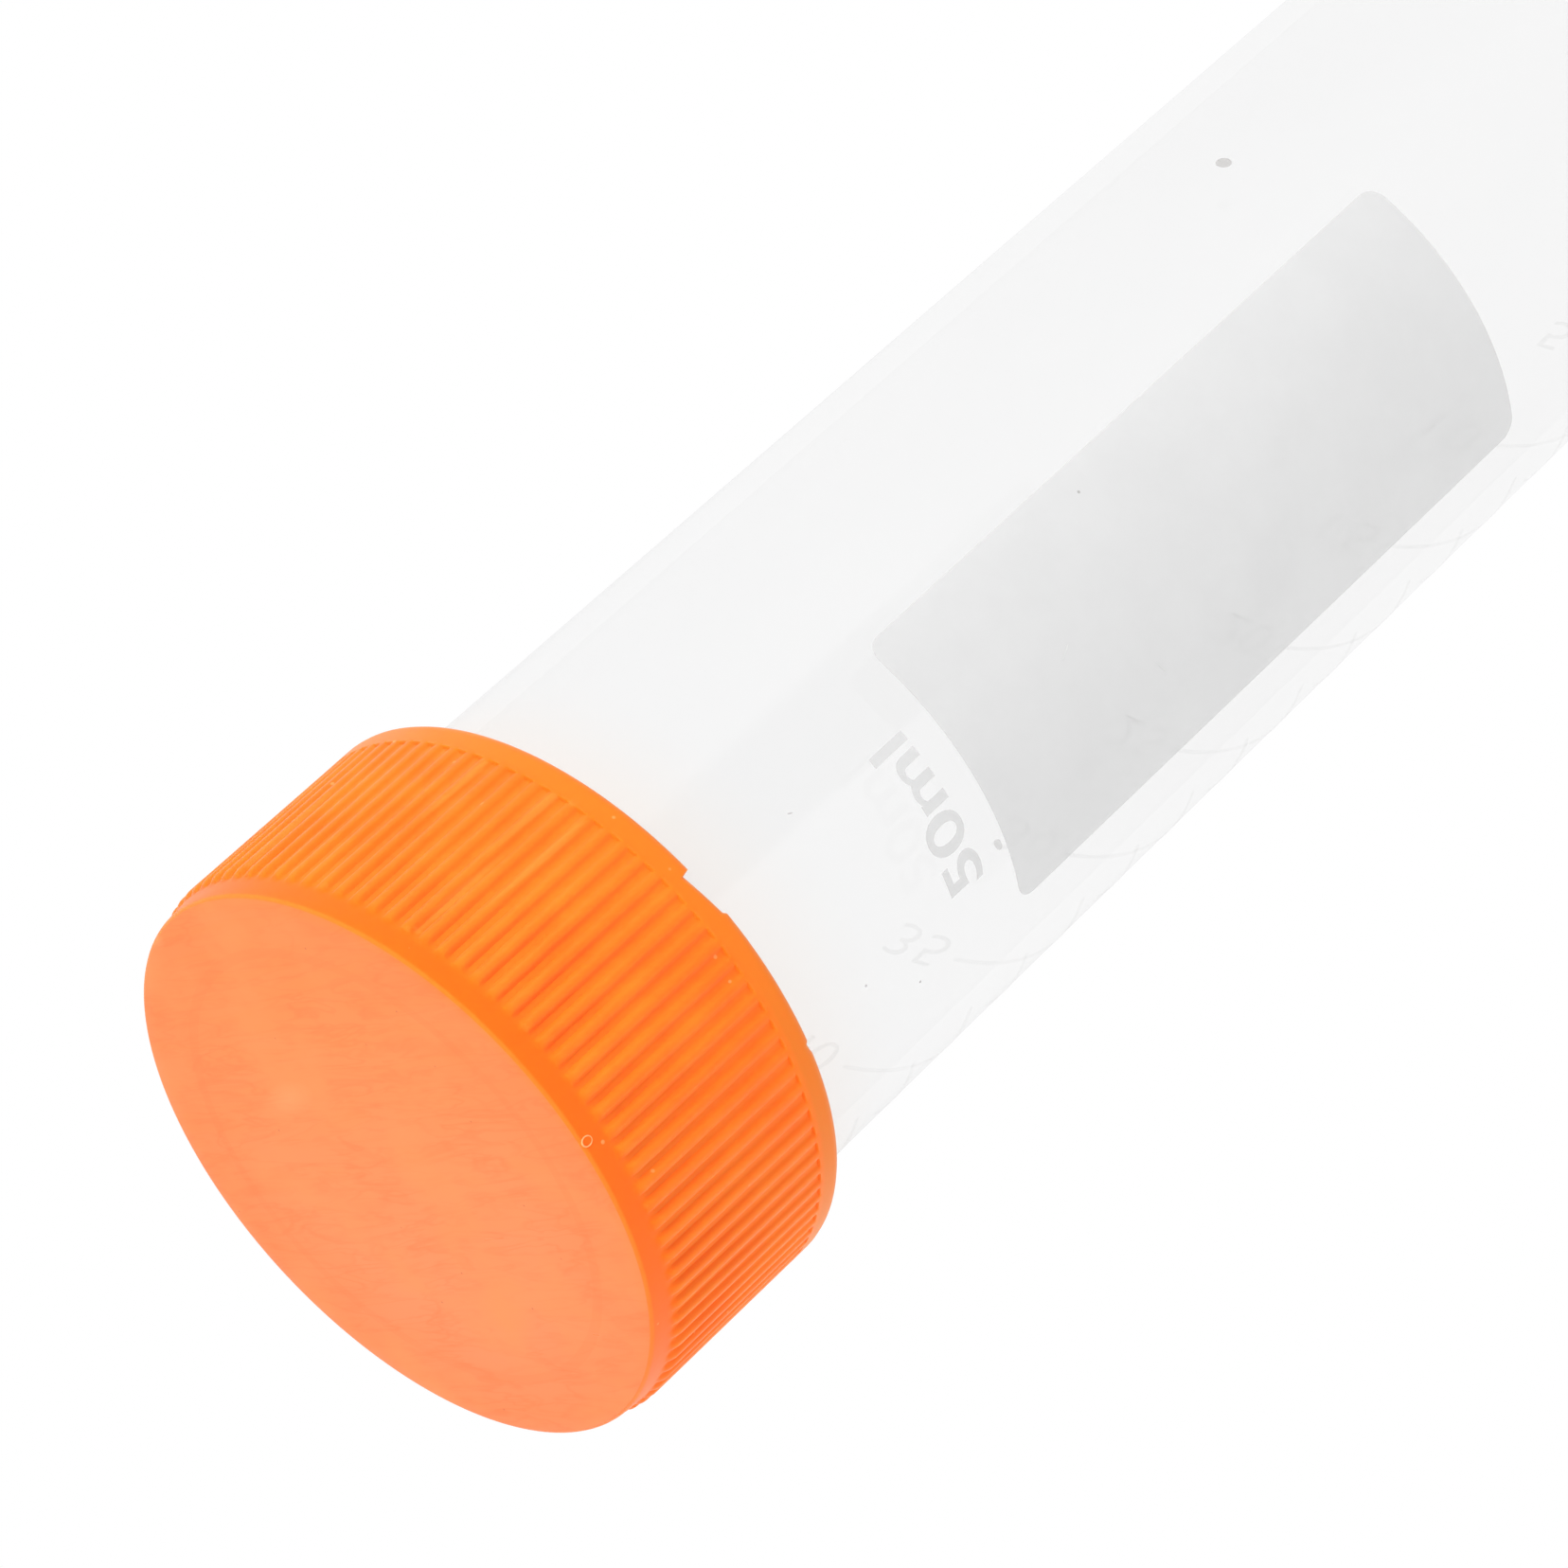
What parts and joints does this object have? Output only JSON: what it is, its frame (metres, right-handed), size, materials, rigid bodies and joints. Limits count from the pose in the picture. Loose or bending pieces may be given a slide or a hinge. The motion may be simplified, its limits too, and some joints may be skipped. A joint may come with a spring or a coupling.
{
  "type": "conical centrifuge tube",
  "caption": "Fifty millilitre conical plastic tube with a ribbed flat-topped screw cap, standing upside down on the cap.",
  "frame": {"origin": "centre of the flat outer face of the screw cap, on which the closed tube stands", "axes": "+Z along the tube axis from the cap towards the conical bottom; the writing patch faces -Y"},
  "size_m": [0.0333, 0.0332, 0.115],
  "materials": {
    "cap_plastic": "satin moulded orange polyethylene",
    "tube_plastic": "clear to milky moulded polypropylene"
  },
  "bodies": {
    "cap": {"screw_cap": "cap_plastic"},
    "tube": {"tube_body": "tube_plastic"}
  },
  "joints": [
    {"name": "tube_lift", "type": "slide", "parent": "cap", "child": "tube", "axis": [0, 0, 1], "range_m": [0, 0.018]}
  ]
}
